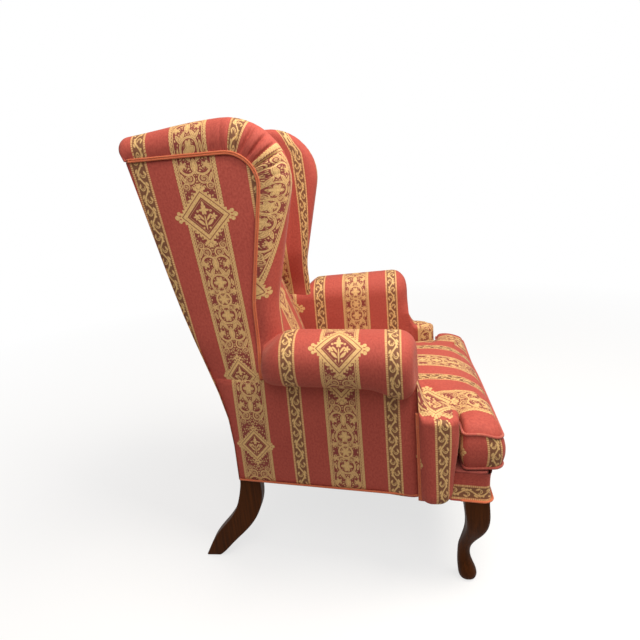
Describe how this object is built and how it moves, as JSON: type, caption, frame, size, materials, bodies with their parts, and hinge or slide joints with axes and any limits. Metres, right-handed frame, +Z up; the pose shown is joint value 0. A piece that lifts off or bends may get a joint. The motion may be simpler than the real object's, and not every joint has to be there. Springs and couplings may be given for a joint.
{
  "type": "upholstered wing chair",
  "caption": "High-backed wing chair with rolled arms, brocade cover, piping, a loose T-shaped seat cushion, cabriole front legs and raked rear legs.",
  "frame": {"origin": "on the floor under the middle of the chair's overall box", "axes": "+Z up; the chair faces -Y; +X is the sitter's left"},
  "size_m": [0.7884, 0.7824, 1.0716],
  "materials": {
    "brocade": "striped brocade",
    "piping": "covered cord",
    "polished_wood": "satin",
    "frame_wood": "sawn",
    "spring_steel": "drawn wire",
    "jute": "coarse weave",
    "deck_cloth": "plain weave",
    "dust_cloth": "plain weave",
    "filling": "soft filling",
    "glide": "matt"
  },
  "bodies": {
    "chair": {"arm_left": "brocade", "arm_piping_left": "piping", "arm_piping_right": "piping", "arm_rail_left": "frame_wood", "arm_rail_right": "frame_wood", "arm_right": "brocade", "arm_stump_left": "frame_wood", "arm_stump_right": "frame_wood", "back_webbing": "jute", "crest_rail": "frame_wood", "dust_cover": "dust_cloth", "foot_glides": "glide", "frame_dowels": "frame_wood", "front_base_piping": "piping", "front_border": "brocade", "front_corner_block_left": "frame_wood", "front_corner_block_right": "frame_wood", "front_leg_left": "polished_wood", "front_leg_right": "polished_wood", "front_roll_left": "brocade", "front_roll_right": "brocade", "front_seat_rail": "frame_wood", "inside_back": "brocade", "lower_back_rail": "frame_wood", "outside_arm_left": "brocade", "outside_arm_right": "brocade", "outside_back": "brocade", "outside_wing_left": "brocade", "outside_wing_right": "brocade", "rear_corner_block_left": "frame_wood", "rear_corner_block_right": "frame_wood", "rear_leg_left": "polished_wood", "rear_leg_right": "polished_wood", "rear_post_left": "frame_wood", "rear_post_right": "frame_wood", "rear_seat_rail": "frame_wood", "seat_deck": "deck_cloth", "seat_springs": "spring_steel", "side_base_piping_left": "piping", "side_base_piping_right": "piping", "side_seat_rail_left": "frame_wood", "side_seat_rail_right": "frame_wood", "spring_clips": "spring_steel", "spring_hessian": "jute", "wing_left": "brocade", "wing_piping_left": "piping", "wing_piping_right": "piping", "wing_post_left": "frame_wood", "wing_post_right": "frame_wood", "wing_right": "brocade", "wing_top_rail_left": "frame_wood", "wing_top_rail_right": "frame_wood"},
    "seat_cushion": {"cushion_filling": "filling", "cushion_cover": "brocade", "cushion_top_welt": "piping", "cushion_bottom_welt": "piping"}
  },
  "joints": [
    {"name": "cushion_lift_out", "type": "slide", "parent": "chair", "child": "seat_cushion", "axis": [0, -0.9404, 0.3401], "range_m": [0, 0.6]}
  ]
}
